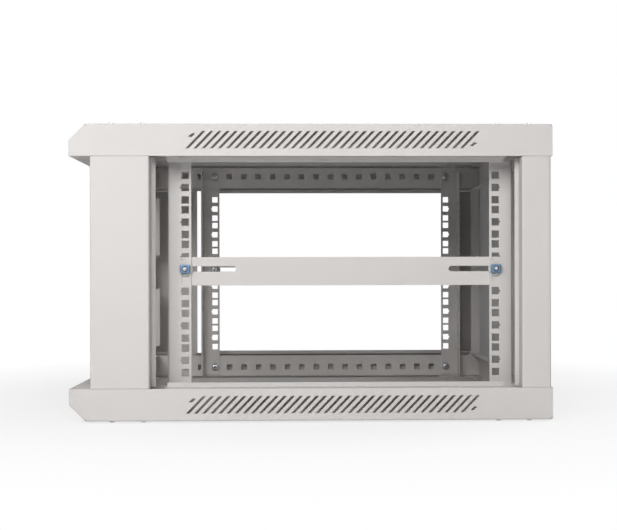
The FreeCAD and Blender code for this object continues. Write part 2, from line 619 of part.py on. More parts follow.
def make_cross_rail(label, up, front):
    """A cross rail joins two posts above or below the opening, as a channel."""
    body = add_body(label)
    plane = FRONT_PLANE if front else REAR_PLANE
    inward = 1 if front else -1
    sheet = "dims.frame_sheet"
    near = OPENING if front else f"({OPENING} - dims.cross_lower)"

    def y(distance):
        return f"{plane} + {inward} * ({distance})"

    web = (y("0"), y(sheet)) if front else (y(sheet), y("0"))
    levels = sorted((height(up, near), height(up, COVER_INSIDE)), key=value)
    pad(body, f"{label}_web", "Y", *web, lambda sketch: draw_rectangle(
        sketch, f"-{FLANGE_IN}", FLANGE_IN, *levels))
    flange_half = f"({FLANGE_IN} - dims.cross_gap)"

    def draw_flanges(sketch):
        for start, thick in ((near, sheet), (COVER_INSIDE, f"-{sheet}")):
            draw_rectangle(sketch, y("0"), y("dims.cross_flange"), height(up, start),
                           height(up, f"({start} + {thick})"))

    pad(body, f"{label}_flanges", "X", f"-{flange_half}", flange_half, draw_flanges)
    round_folds(body, f"{label}_inner_folds", "X", [
        ("0", y(sheet), height(up, f"({near} + {sheet})")),
        ("0", y(sheet), height(up, f"({COVER_INSIDE} - {sheet})"))],
        f"dims.frame_bend - {sheet}")
    return body


def make_rear_panel():
    """A flat panel welded to the rear of the frame, its edges tucked behind the covers."""
    body = add_body("rear_panel")
    half = f"({FLANGE_IN} + dims.panel_lap)"
    reach = f"({OPENING} + dims.panel_tuck)"
    pad(body, "rear_panel_sheet", "Y", REAR_PLANE, f"{REAR_PLANE} + dims.panel_sheet",
        lambda sketch: draw_rectangle(sketch, f"-{half}", half, height(-1, reach),
                                      height(1, reach)))
    return body


def make_depth_rail(label, side, up):
    """A depth rail with a row of square holes, folded over into a back for stiffness."""
    body = add_body(label)

    def x(distance):
        return f"{side} * ({distance})"

    back = f"({FLANGE_IN} + dims.depth_rail_flange)"
    pad(body, f"{label}_fold", "Y", DEPTH_FRONT, DEPTH_REAR, lambda sketch: draw_outline(
        sketch, [
            (x(RAIL_OUT), height(up, RAIL_LOW)),
            (x(FLANGE_IN), height(up, RAIL_LOW)),
            (x(FLANGE_IN), height(up, f"({RAIL_TOP} - dims.depth_sheet)")),
            (x(f"{back} - dims.depth_sheet"), height(up, f"({RAIL_TOP} - dims.depth_sheet)")),
            (x(f"{back} - dims.depth_sheet"), height(up, f"({RAIL_TOP} - dims.depth_rail_back)")),
            (x(back), height(up, f"({RAIL_TOP} - dims.depth_rail_back)")),
            (x(back), height(up, RAIL_TOP)),
            (x(RAIL_OUT), height(up, RAIL_TOP))]))
    round_folds(body, f"{label}_bends", "Y", [
        (x(spot), "0", height(up, RAIL_TOP)) for spot in (RAIL_OUT, back)], "dims.rack_bend")
    half = "dims.square_hole / 2"
    web = sorted((x(RAIL_OUT), x(FLANGE_IN)), key=value)
    hole = pocket(body, f"{label}_hole", "X", *web, lambda sketch: draw_rectangle(
        sketch, f"{FIRST_HOLE} - {half}", f"{FIRST_HOLE} + {half}",
        f"{height(up, HOLE_ROW)} - {half}", f"{height(up, HOLE_ROW)} + {half}"))
    repeat(body, hole, "Y", "dims.depth_hole_pitch", HOLE_COUNT)
    return body


def make_rack_rail(label, side, front):
    """A 19 inch rail, punched in both flanges with the unit pattern of square holes."""
    body = add_body(label)
    column = FRONT_COLUMN if front else REAR_COLUMN
    inward = 1 if front else -1
    sheet = "dims.rack_sheet"

    def x(distance):
        return f"{side} * ({distance})"

    def y(distance):
        return f"{column} + {inward} * ({distance} - dims.rack_side_column)"

    low = f"({RACK_MID} - {HALF_HEIGHT} + dims.rack_end_gap)"
    high = f"({RACK_MID} + {HALF_HEIGHT} - dims.rack_end_gap)"
    pad(body, f"{label}_fold", "Z", low, high, lambda sketch: draw_outline(sketch, [
        (x(RAIL_OUT), y("0")),
        (x(RACK_TIP), y("0")),
        (x(RACK_TIP), y(sheet)),
        (x(f"{RAIL_OUT} - {sheet}"), y(sheet)),
        (x(f"{RAIL_OUT} - {sheet}"), y("dims.rack_side_flange")),
        (x(RAIL_OUT), y("dims.rack_side_flange"))]))
    round_folds(body, f"{label}_outer_bend", "Z", [(x(RAIL_OUT), y("0"), "0")],
                "dims.rack_bend")
    round_folds(body, f"{label}_inner_bend", "Z", [(x(f"{RAIL_OUT} - {sheet}"), y(sheet), "0")],
                f"dims.rack_bend - {sheet}")

    half = "dims.square_hole / 2"
    notch = "dims.notch_height / 2"

    def draw_unit(sketch, middle, toward_bend):
        """The three holes of the top unit; the middle one has a notch toward the bend."""
        for step in (0, 2):
            level = f"({RACK_TOP_HOLE} - {step} * dims.unit_hole_step)"
            draw_rectangle(sketch, f"{middle} - {half}", f"{middle} + {half}",
                           f"{level} - {half}", f"{level} + {half}")
        level = f"({RACK_TOP_HOLE} - dims.unit_hole_step)"
        bend_edge = f"{middle} + {toward_bend} * {half}"
        free_edge = f"{middle} - {toward_bend} * {half}"
        tip = f"{middle} + {toward_bend} * ({half} + dims.notch_depth)"
        draw_outline(sketch, [(free_edge, f"{level} - {half}"), (bend_edge, f"{level} - {half}"),
                              (bend_edge, f"{level} - {notch}"), (tip, level),
                              (bend_edge, f"{level} + {notch}"), (bend_edge, f"{level} + {half}"),
                              (free_edge, f"{level} + {half}")])

    skin = sorted((x(RAIL_OUT), x(f"{RAIL_OUT} - {sheet}")), key=value)
    side_unit = pocket(body, f"{label}_side_unit", "X", *skin,
                       lambda sketch: draw_unit(sketch, column, -inward))
    repeat(body, side_unit, "Z", "-dims.unit_height", "dims.rack_units")
    face = sorted((y("0"), y(sheet)), key=value)
    face_unit = pocket(body, f"{label}_face_unit", "Y", *face,
                       lambda sketch: draw_unit(sketch, x(RACK_COLUMN), side))
    repeat(body, face_unit, "Z", "-dims.unit_height", "dims.rack_units")

    def draw_end_slots(sketch):
        straight = "(dims.end_slot_length - dims.end_slot_width) / 2"
        for up in (1, -1):
            level = height(up, f"({HOLE_ROW} - dims.end_slot_drop)")
            draw_slot(sketch, (column, f"{level} - {straight}"), (column, f"{level} + {straight}"),
                      "dims.end_slot_width")

    pocket(body, f"{label}_end_slots", "X", *skin, draw_end_slots)
    return body


def make_side_brace(label, side):
    """A flat brace that ties the front rail to the rear rail, with a long slot at each end."""
    body = add_body(label)
    centre_y = f"(({FRONT_COLUMN} + {REAR_COLUMN}) / 2 + dims.brace_shift)"
    outer = f"({RAIL_OUT} - dims.rack_sheet)"
    skin = sorted((f"{side} * {outer}", f"{side} * ({outer} - dims.brace_sheet)"), key=value)
    inner = f"(({REAR_COLUMN} - {FRONT_COLUMN}) / 2 - dims.brace_slot_back)"
    reach = f"({inner} + dims.brace_slot_length + dims.brace_end)"
    middle = f"({BRACE_LEVEL} - dims.brace_drop)"
    pad(body, f"{label}_strip", "X", *skin, lambda sketch: draw_rectangle(
        sketch, f"{centre_y} - {reach}", f"{centre_y} + {reach}",
        f"{middle} - dims.brace_height / 2", f"{middle} + dims.brace_height / 2"))

    def draw_slots(sketch):
        near = f"({inner} + dims.brace_slot_width / 2)"
        far = f"({inner} + dims.brace_slot_length - dims.brace_slot_width / 2)"
        for end in (1, -1):
            draw_slot(sketch, (f"{centre_y} + {end} * {near}", BRACE_LEVEL),
                      (f"{centre_y} + {end} * {far}", BRACE_LEVEL), "dims.brace_slot_width")

    pocket(body, f"{label}_slots", "X", *skin, draw_slots)
    return body


def make_entry_cover(label, up):
    """The plate that closes a cable entry, lying against the inside of the cover."""
    body = add_body(label)
    levels = sorted((height(up, COVER_INSIDE), height(up, f"({COVER_INSIDE} - dims.entry_sheet)")),
                    key=value)
    rear = f"({REAR_PLANE} - dims.entry_margin)"
    half = "(dims.entry_width / 2 + dims.entry_lap)"
    pad(body, f"{label}_plate", "Z", *levels, lambda sketch: draw_rectangle(
        sketch, f"-{half}", half, f"{rear} - dims.entry_depth - dims.entry_lap",
        f"{rear} + dims.entry_lap"))
    round_folds(body, f"{label}_corners", "Z", [
        (f"{side} * {half}", spot, "0") for side in (1, -1)
        for spot in (f"{rear} + dims.entry_lap", f"{rear} - dims.entry_depth - dims.entry_lap")],
        "dims.entry_corner")
    drill(body, f"{label}_tapped", [(entry_screw_x(side), ENTRY_SCREW_Y) for side in (1, -1)],
          *levels, "dims.cover_screw_size")
    return body


def turned_shape(outline, sides):
    """A solid round Z with flat sides; the outline lists its (width, level) pairs upward."""
    turns = [2 * math.pi * index / sides for index in range(sides)]
    rings = [[FreeCAD.Vector(width / 2 * math.cos(turn), width / 2 * math.sin(turn), level)
              for turn in turns] for width, level in outline]
    loops = [rings[0], rings[-1]]
    for lower, upper in zip(rings, rings[1:]):
        for index in range(sides):
            following = (index + 1) % sides
            loops.append([lower[index], lower[following], upper[following], upper[index]])
    faces = [Part.Face(Part.makePolygon(loop + loop[:1])) for loop in loops]
    return Part.Solid(Part.Shell(faces))


def screw_shape(size, head_width, head_height, length, recess_width, recess_slot, recess_depth):
    """A pan head screw along +Z, its head above Z = 0, with a cross recess."""
    head = value(head_width)
    top = value(head_height)
    shank = value(size) - value("dims.thread_gap")
    outline = [(shank, -value(length)), (shank, 0), (head, 0), (head, top * value("dims.head_rim")),
               (head * value("dims.head_crown"), top)]
    screw = turned_shape(outline, int(value("dims.screw_sides")))
    span = value(recess_width)
    arm = value(recess_slot)
    depth = value(recess_depth)
    for wide, tall in ((span, arm), (arm, span)):
        corner = FreeCAD.Vector(-wide / 2, -tall / 2, top - depth)
        screw = screw.cut(Part.makeBox(wide, tall, depth + value("dims.overcut"), corner))
    return screw


def cage_shape():
    """A spring cage standing on Z = 0 over a square hole, its legs reaching below."""
    thick = value("dims.cage_sheet")
    half = value("dims.nut_width / 2 + dims.nut_gap + dims.cage_sheet")
    top = value(CAGE_TOP)
    leg = value("dims.cage_leg")
    hole = value("dims.square_hole / 2 - dims.nut_gap")
    profile = [(half, 0), (half, top), (-half, top), (-half, 0), (-hole, 0), (-hole, -leg),
               (-hole + thick, -leg), (-hole + thick, thick), (-half + thick, thick),
               (-half + thick, top - thick), (half - thick, top - thick), (half - thick, thick),
               (hole - thick, thick), (hole - thick, -leg), (hole, -leg), (hole, 0), (half, 0)]
    tall = value("dims.cage_height")
    wire = Part.makePolygon([FreeCAD.Vector(-tall / 2, y, z) for y, z in profile])
    cage = Part.Face(wire).extrude(FreeCAD.Vector(tall, 0, 0))
    window = value("dims.cage_window")
    below = value("dims.nut_gap")
    corner = FreeCAD.Vector(-window / 2, -window / 2, top - thick - below)
    return cage.cut(Part.makeBox(window, window, below + thick + value("dims.overcut"), corner))


def nut_shape():
    """The square nut held in a cage."""
    wide = value("dims.nut_width")
    seat = value("dims.cage_sheet + dims.nut_gap")
    tall = value("dims.nut_height")
    past = value("dims.overcut")
    bore = value("dims.rack_screw_size")
    block = Part.makeBox(wide, wide, tall, FreeCAD.Vector(-wide / 2, -wide / 2, seat))
    return block.cut(turned_shape([(bore, seat - past), (bore, seat + tall + past)],
                                  int(value("dims.screw_sides"))))


def washer_shape():
    """The plastic washer behind a brace's cage, with a square hole for the cage's legs."""
    thick = value("dims.washer_sheet")
    wide = value("dims.washer_width")
    hole = value("dims.square_hole")
    past = value("dims.overcut")
    disc = turned_shape([(wide, 0), (wide, thick)], int(value("dims.washer_sides")))
    corner = FreeCAD.Vector(-hole / 2, -hole / 2, -past)
    return disc.cut(Part.makeBox(hole, hole, thick + 2 * past, corner))


def add_group(label, shape, spots):
    """Copies of one shape as separate solids, each at a spot and facing along a direction."""
    copies = []
    for place, facing in spots:
        turned = shape.copy()
        turn = FreeCAD.Rotation(FreeCAD.Vector(0, 0, 1), FreeCAD.Vector(*facing))
        turned.Placement = FreeCAD.Placement(FreeCAD.Vector(*[value(part) for part in place]), turn)
        copies.append(turned)
    group = document.addObject("Part::Feature", label)
    group.Label = label
    group.Shape = Part.makeCompound(copies)
    group.Placement = FreeCAD.Placement()
    SUBPARTS.append(group)
    return group


def rail_fixings(distance, outward):
    """Where the rack rails are screwed to the depth rails, at a distance from the middle."""
    return [((f"{side} * ({distance})", column, height(up, HOLE_ROW)), (outward * side, 0, 0))
            for side in (1, -1) for column in (FRONT_COLUMN, REAR_COLUMN) for up in (1, -1)]


def brace_fixings(distance, outward):
    """Where the braces are screwed to the rack rails, at a distance from the middle."""
    return [((f"{side} * ({distance})", column, BRACE_LEVEL), (outward * side, 0, 0))
            for side in (1, -1) for column in (FRONT_COLUMN, REAR_COLUMN)]


def make_fasteners():
    """Screws, cages, nuts and washers, each kind one group of separate solids."""
    rack_screw = screw_shape("dims.rack_screw_size", "dims.rack_head_width",
                             "dims.rack_head_height", "dims.rack_screw_length",
                             "dims.recess_width", "dims.recess_slot", "dims.recess_depth")
    rail_inside = f"({RAIL_OUT} - dims.rack_sheet)"
    add_group("rack_rail_screws", rack_screw, rail_fixings(rail_inside, -1))
    add_group("rail_nut_cages", cage_shape(), rail_fixings(FLANGE_IN, 1))
    add_group("rail_nuts", nut_shape(), rail_fixings(FLANGE_IN, 1))
    brace_inside = f"({rail_inside} - dims.brace_sheet)"
    washer_face = f"({RAIL_OUT} + dims.washer_sheet)"
    add_group("brace_screws", rack_screw, brace_fixings(brace_inside, -1))
    add_group("brace_washers", washer_shape(), brace_fixings(RAIL_OUT, 1))
    add_group("brace_nut_cages", cage_shape(), brace_fixings(washer_face, 1))
    add_group("brace_nuts", nut_shape(), brace_fixings(washer_face, 1))
    cover_screw = screw_shape("dims.cover_screw_size", "dims.cover_head_width",
                              "dims.cover_head_height", "dims.cover_screw_length",
                              "dims.cover_recess", "dims.cover_recess_slot",
                              "dims.cover_recess_depth")
    for label, up in (("top_cover_screws", 1), ("bottom_cover_screws", -1)):
        add_group(label, cover_screw, [((x, y, height(up, HALF_HEIGHT)), (0, 0, up))
                                       for x, y in cover_screw_places()])


def build_cabinet():
    make_cover("top_cover", 1)
    make_cover("bottom_cover", -1)
    for side, hand in ((-1, "left"), (1, "right")):
        make_post(f"front_post_{hand}", side, True)
        make_post(f"rear_post_{hand}", side, False)
        make_depth_rail(f"depth_rail_top_{hand}", side, 1)
        make_depth_rail(f"depth_rail_bottom_{hand}", side, -1)
        make_rack_rail(f"rack_rail_front_{hand}", side, True)
        make_rack_rail(f"rack_rail_rear_{hand}", side, False)
        make_side_brace(f"side_brace_{hand}", side)
    for up, end in ((1, "top"), (-1, "bottom")):
        make_cross_rail(f"front_{end}_rail", up, True)
        make_cross_rail(f"rear_{end}_rail", up, False)
        make_entry_cover(f"{end}_entry_cover", up)
    make_rear_panel()
    make_fasteners()


def check_and_write():
    """Refuses a failed object or an empty or invalid shape, then writes one file for each."""
    document.recompute()
    for item in document.Objects:
        if "Invalid" in item.State or "Error" in item.State:
            raise RuntimeError(f"{item.Label} failed: {item.State}")
    for item in SUBPARTS:
        if item.Shape.isNull() or not item.Shape.isValid():
            raise RuntimeError(f"{item.Label} has no valid shape")
    os.makedirs("parts", exist_ok=True)
    for item in SUBPARTS:
        item.Shape.exportStep(f"parts/{item.Label}.step")
        print(item.Label, len(item.Shape.Solids), "solid(s),", round(item.Shape.Volume), "mm3")
    print(len(SUBPARTS), "sub-parts")


build_cabinet()
check_and_write()
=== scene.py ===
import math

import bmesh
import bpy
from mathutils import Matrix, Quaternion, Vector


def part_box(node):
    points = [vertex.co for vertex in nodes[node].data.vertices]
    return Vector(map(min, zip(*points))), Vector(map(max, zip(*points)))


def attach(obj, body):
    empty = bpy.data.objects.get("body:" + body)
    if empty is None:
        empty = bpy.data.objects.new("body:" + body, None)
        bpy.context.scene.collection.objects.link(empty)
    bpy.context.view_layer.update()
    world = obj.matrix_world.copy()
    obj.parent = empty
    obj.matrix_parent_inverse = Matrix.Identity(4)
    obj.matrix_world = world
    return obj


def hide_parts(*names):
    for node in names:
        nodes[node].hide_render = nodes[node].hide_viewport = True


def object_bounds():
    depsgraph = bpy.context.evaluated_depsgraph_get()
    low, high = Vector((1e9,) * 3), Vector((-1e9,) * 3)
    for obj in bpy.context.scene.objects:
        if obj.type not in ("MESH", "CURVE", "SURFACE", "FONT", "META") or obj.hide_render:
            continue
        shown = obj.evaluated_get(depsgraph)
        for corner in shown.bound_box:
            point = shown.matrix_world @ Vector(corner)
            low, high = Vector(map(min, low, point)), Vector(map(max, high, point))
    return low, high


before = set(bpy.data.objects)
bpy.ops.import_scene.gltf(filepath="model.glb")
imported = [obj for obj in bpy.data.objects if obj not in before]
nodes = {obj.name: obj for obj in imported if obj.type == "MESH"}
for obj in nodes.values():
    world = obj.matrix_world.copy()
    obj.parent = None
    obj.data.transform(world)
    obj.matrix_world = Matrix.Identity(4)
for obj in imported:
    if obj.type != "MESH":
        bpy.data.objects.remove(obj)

# %% [markdown]
# # A wall mount rack cabinet, seen from its open right side
#
# The solids of the cabinet come from the frame: folded covers, posts, rails, braces and the
# small fasteners. They already have the right size and place, so they stay where they are.
# This lesson gives them their finishes, models the fasteners again in fine detail, and sets up
# the camera, the floor and the light. All lengths are in metres. The front looks along -Y,
# right is +X, and Z = 0 is the floor.

cad_low, cad_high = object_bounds()
MM = 0.001
print(len(nodes), "solids from", tuple(cad_low), "to", tuple(cad_high))

# %% [markdown]
# ## The driving sizes
#
# Most places can be read from the boxes of the solids. A box tells where a group of fasteners
# ends, and a fastener's own width then gives the middle of the outermost ones. Only the sizes
# of the fasteners themselves are written down here, as a maker's drawing would give them.

# %% Sizes of the fasteners
RACK_THREAD = 6 * MM
RACK_PITCH = 1 * MM
RACK_HEAD = 11.6 * MM
RACK_HEAD_HEIGHT = 3.6 * MM
RACK_LENGTH = 12 * MM
COVER_THREAD = 4 * MM
COVER_PITCH = 0.7 * MM
COVER_HEAD = 7.2 * MM
COVER_HEAD_HEIGHT = 2.6 * MM
COVER_LENGTH = 8 * MM
COVER_PAIR = 39 * MM
ENTRY_LAP = 12 * MM
NUT_WIDTH = 11.2 * MM
NUT_HEIGHT = 4 * MM
CAGE_SHEET = 0.6 * MM
CAGE_WIDTH = 9.2 * MM
PLAY = 0.2 * MM
SQUARE_HOLE = 9.5 * MM
LEG_REACH = 1.4 * MM
WASHER_WIDTH = 18.4 * MM
WASHER_SHEET = 0.8 * MM
DEPTH_SHEET = 2 * MM

# The span, the arm and the depth of a cross recess.
RACK_RECESS = (5.8 * MM, 1.4 * MM, 2.2 * MM)
COVER_RECESS = (3.6 * MM, 0.95 * MM, 1.5 * MM)
BLADE_TAPER = 0.55

# How deep a thread is cut, and how far its ridge lies inside the screw's outer radius.
THREAD_DEPTH = 0.6 * MM
COVER_RIDGE_INSET = 0.45 * MM
TIP_CHAMFER = 0.8 * MM

# A pan head: the share of its height that is straight, and its flat middle.
RIM_SHARE = 0.4
DOME_FLAT = 0.35
DOME_STEPS = 8

FOLD_RADIUS = 0.7 * MM
NUT_EDGE = 0.5 * MM
NUT_CHAMFER = 0.7 * MM
BORE_PLAY = 0.05 * MM
WASHER_EDGE = 0.25 * MM

# %% [markdown]
# ## Building a material from nodes
#
# Every finish below starts from the same few steps: a shader, some noise on Object
# coordinates, and a bump. The helpers keep those steps short. Object coordinates are used
# because each finished object sits at the origin, so the pattern is measured in metres.

# %% Helpers for material nodes
def start_material(name, roughness):
    """A new material with its shader and its Object coordinates."""
    material = bpy.data.materials.new(name)
    material.use_nodes = True
    tree = material.node_tree
    shader = tree.nodes["Principled BSDF"]
    shader.inputs["Roughness"].default_value = roughness
    spots = tree.nodes.new("ShaderNodeTexCoord")
    return material, tree, shader, spots.outputs["Object"]


def add_noise(tree, spots, scale, detail=2.0, roughness=0.5):
    noise = tree.nodes.new("ShaderNodeTexNoise")
    noise.inputs["Scale"].default_value = scale
    noise.inputs["Detail"].default_value = detail
    noise.inputs["Roughness"].default_value = roughness
    tree.links.new(spots, noise.inputs["Vector"])
    return noise.outputs["Fac"]


def spread(tree, value, low, high, start=0.3, end=0.7):
    """Stretches a noise from start..end to low..high."""
    node = tree.nodes.new("ShaderNodeMapRange")
    node.inputs["From Min"].default_value = start
    node.inputs["From Max"].default_value = end
    node.inputs["To Min"].default_value = low
    node.inputs["To Max"].default_value = high
    tree.links.new(value, node.inputs["Value"])
    return node.outputs["Result"]


def blend_colours(tree, factor, first, second):
    """A colour between two others; each is a socket or a tuple of linear red, green, blue."""
    node = tree.nodes.new("ShaderNodeMix")
    node.data_type = "RGBA"
    tree.links.new(factor, node.inputs["Factor"])
    for socket, colour in ((node.inputs[6], first), (node.inputs[7], second)):
        if isinstance(colour, tuple):
            socket.default_value = (*colour, 1)
        else:
            tree.links.new(colour, socket)
    return node.outputs[2]


def add_bump(tree, height, distance, strength=1.0, below=None):
    """A bump of a real height; several can be laid on one another through below."""
    bump = tree.nodes.new("ShaderNodeBump")
    bump.inputs["Strength"].default_value = strength
    bump.inputs["Distance"].default_value = distance
    tree.links.new(height, bump.inputs["Height"])
    if below is not None:
        tree.links.new(below, bump.inputs["Normal"])
    return bump.outputs["Normal"]


def edge_mask(tree, radius):
    """Near 1 along sharp edges: how far the rounded normal turns from the true one."""
    bevel = tree.nodes.new("ShaderNodeBevel")
    bevel.samples = 4
    bevel.inputs["Radius"].default_value = radius
    true = tree.nodes.new("ShaderNodeNewGeometry")
    dot = tree.nodes.new("ShaderNodeVectorMath")
    dot.operation = "DOT_PRODUCT"
    tree.links.new(bevel.outputs["Normal"], dot.inputs[0])
    tree.links.new(true.outputs["Normal"], dot.inputs[1])
    return spread(tree, dot.outputs["Value"], 1.0, 0.0, 0.75, 0.995), bevel.outputs["Normal"]


def linear(red, green, blue):
    """Turns a screen colour of 0 to 255 into the linear values that a shader takes."""
    return tuple(((part / 255 + 0.055) / 1.055) ** 2.4 for part in (red, green, blue))


print("helpers for materials are ready")

# %% [markdown]
# ## Powder coat
#
# The sheet steel is powder coated in a warm light grey. Powder melts into a skin with a fine
# orange peel, about a millimetre from crest to crest, and it draws back from sharp edges, so
# they look a little paler and smoother. Wide, faint clouds stop large sheets from looking flat.
# The coat is matt: a glossier one would shine white where a lamp grazes the top cover.

# %% The powder coat
CLOUD_SCALE = 6.0
GLOSS_SCALE = 45.0
PEEL_SCALE = 900.0
GRAIN_SCALE = 3200.0


def powder_coat(name, colour, shade):
    material, tree, shader, spots = start_material(name, 0.66)
    edges, rounded = edge_mask(tree, 0.5 * MM)
    clouds = spread(tree, add_noise(tree, spots, CLOUD_SCALE, 3.0), 0.0, 1.0)
    darker = tuple(part * shade for part in colour)
    paler = tuple(min(part * 1.05, 0.8) for part in colour)
    body = blend_colours(tree, clouds, darker, colour)
    tree.links.new(blend_colours(tree, edges, body, paler), shader.inputs["Base Color"])
    peel = add_noise(tree, spots, PEEL_SCALE, 2.0)
    grain = add_noise(tree, spots, GRAIN_SCALE, 1.0)
    tree.links.new(spread(tree, add_noise(tree, spots, GLOSS_SCALE, 4.0), 0.60, 0.72),
                   shader.inputs["Roughness"])
    normal = add_bump(tree, peel, 0.05 * MM, 0.5, rounded)
    normal = add_bump(tree, grain, 0.01 * MM, 0.35, normal)
    tree.links.new(normal, shader.inputs["Normal"])
    shader.inputs["Specular IOR Level"].default_value = 0.22
    return material


PAINT_GREY = linear(210, 208, 206)
paint = powder_coat("light_grey_powder_coat", PAINT_GREY, 0.965)
# The rear panel takes the same grey coat made slightly cooler: a painted blue tint for the
# bluish shade light deep inside the cabinet.
painted_blue_shade_panel_paint = powder_coat("rear_panel_coat_with_painted_blue_shade", linear(206, 207, 208), 0.96)
print("powder coat for the sheet steel and for the rear panel")

# %% [markdown]
# ## Zinc plate
#
# The screws are zinc plated: a bright grey metal whose crystals turn the light in slightly
# different directions. A Voronoi pattern gives each crystal its own gloss. The cage
# nuts have a blue passivation over the zinc, a thin film whose blue is slightly uneven.

# %% Plain and blue zinc
def zinc_plate(name, first, second, roughness):
    material, tree, shader, spots = start_material(name, roughness)
    shader.inputs["Metallic"].default_value = 1.0
    crystals = tree.nodes.new("ShaderNodeTexVoronoi")
    crystals.inputs["Scale"].default_value = 1500.0
    tree.links.new(spots, crystals.inputs["Vector"])
    shade = tree.nodes.new("ShaderNodeSeparateColor")
    tree.links.new(crystals.outputs["Color"], shade.inputs["Color"])
    film = spread(tree, add_noise(tree, spots, 160.0, 3.0), 0.0, 1.0)
    edges, rounded = edge_mask(tree, 0.25 * MM)
    body = blend_colours(tree, film, first, second)
    tree.links.new(blend_colours(tree, edges, body, linear(205, 207, 210)),
                   shader.inputs["Base Color"])
    tree.links.new(spread(tree, shade.outputs["Red"], roughness - 0.06, roughness + 0.1, 0, 1),
                   shader.inputs["Roughness"])
    scratches = add_noise(tree, spots, 1200.0, 3.0)
    tree.links.new(add_bump(tree, scratches, 0.02 * MM, 0.5, rounded), shader.inputs["Normal"])
    return material


zinc = zinc_plate("zinc_plate", linear(196, 198, 200), linear(168, 171, 176), 0.3)
blue_zinc = zinc_plate("blue_zinc_plate", linear(104, 132, 158), linear(92, 114, 144), 0.36)
print("zinc for the screws, blue zinc for the cage nuts")

# %% [markdown]
# ## Clear nylon
#
# The washer behind each brace nut is moulded in natural nylon. Light enters it and comes out
# again a little way off, which subsurface scattering does. Its skin is satin, with faint flow
# lines from the mould.

# %% Natural nylon
def natural_nylon(name):
    material, tree, shader, spots = start_material(name, 0.4)
    shader.inputs["Subsurface Weight"].default_value = 0.35
    shader.inputs["Subsurface Radius"].default_value = (1.0, 1.0, 0.8)
    shader.inputs["Subsurface Scale"].default_value = 0.8 * MM
    flow = spread(tree, add_noise(tree, spots, 240.0, 3.0), 0.0, 1.0)
    tree.links.new(blend_colours(tree, flow, linear(206, 207, 202), linear(196, 199, 194)),
                   shader.inputs["Base Color"])
    tree.links.new(spread(tree, add_noise(tree, spots, 500.0), 0.34, 0.46),
                   shader.inputs["Roughness"])
    tree.links.new(add_bump(tree, add_noise(tree, spots, 700.0), 0.03 * MM, 0.4),
                   shader.inputs["Normal"])
    return material


nylon = natural_nylon("natural_nylon")
print("nylon for the washers")

# %% [markdown]
# ## Dressing the solids
#
# A solid from the frame keeps its mesh, because its shape is already the real one. It only
# gets a material. The small fasteners are left out here, since finer ones replace them.

# %% Materials for the sheet steel
def dress(name, material):
    mesh = nodes[name].data
    mesh.materials.clear()
    mesh.materials.append(material)


FASTENERS = {"rack_rail_screws", "brace_screws", "top_cover_screws", "bottom_cover_screws",
             "rail_nut_cages", "brace_nut_cages", "rail_nuts", "brace_nuts", "brace_washers"}
# Every sheet gets the plain grey except the rear panel, whose copy carries the painted blue
# shade tint.
for name in nodes:
    if name not in FASTENERS:
        dress(name, painted_blue_shade_panel_paint if name == "rear_panel" else paint)
print(len(nodes) - len(FASTENERS), "sheet steel pieces are painted")

# %% [markdown]
# ## Patterns for the fasteners
#
# Each kind of fastener is modelled once, standing on Z = 0 and looking up. A screw is a turned
# part, so its outline is spun round an axis. The cross recess is cut with two tapered blades.

# %% Turned parts and cuts
def spin_outline(name, outline, steps=32):
    """Spins an outline of (radius, height) pairs round Z into a closed mesh."""
    form = bmesh.new()
    spots = [form.verts.new((radius, 0, height)) for radius, height in outline]
    edges = [form.edges.new(pair) for pair in zip(spots, spots[1:])]
    bmesh.ops.spin(form, geom=spots + edges, cent=(0, 0, 0), axis=(0, 0, 1),
                   angle=math.tau, steps=steps)
    bmesh.ops.remove_doubles(form, verts=form.verts, dist=0.00001)
    bmesh.ops.recalc_face_normals(form, faces=form.faces)
    return finish_mesh(name, form)


def finish_mesh(name, form):
    mesh = bpy.data.meshes.new(name)
    form.to_mesh(mesh)
    form.free()
    piece = bpy.data.objects.new(name, mesh)
    bpy.context.scene.collection.objects.link(piece)
    return piece


def box_piece(name, low, high, taper=1.0):
    """A box whose lower face may be narrower than its upper one."""
    form = bmesh.new()
    corners = []
    for z, scale in ((low[2], taper), (high[2], 1.0)):
        for x, y in ((low[0], low[1]), (high[0], low[1]), (high[0], high[1]), (low[0], high[1])):
            corners.append(form.verts.new((x * scale, y * scale, z)))
    for face in ((3, 2, 1, 0), (4, 5, 6, 7), (0, 1, 5, 4), (1, 2, 6, 5), (2, 3, 7, 6),
                 (3, 0, 4, 7)):
        form.faces.new([corners[index] for index in face])
    return finish_mesh(name, form)


def take_away(piece, cutter):
    """Cuts one piece out of another and removes the cutter."""
    cut = piece.modifiers.new("cut", "BOOLEAN")
    cut.object = cutter
    cut.solver = "EXACT"
    settle(piece)
    bpy.data.objects.remove(cutter)


def settle(piece):
    """Turns the live modifiers of a piece into plain mesh."""
    graph = bpy.context.evaluated_depsgraph_get()
    made = bpy.data.meshes.new_from_object(piece.evaluated_get(graph))
    piece.modifiers.clear()
    piece.data = made


print("helpers for turned parts and cuts are ready")

# %% [markdown]
# A pan head has a short straight rim and a low dome. The dome is an arc worked out from its
# rim and its height, so the same function makes the large and the small screws.

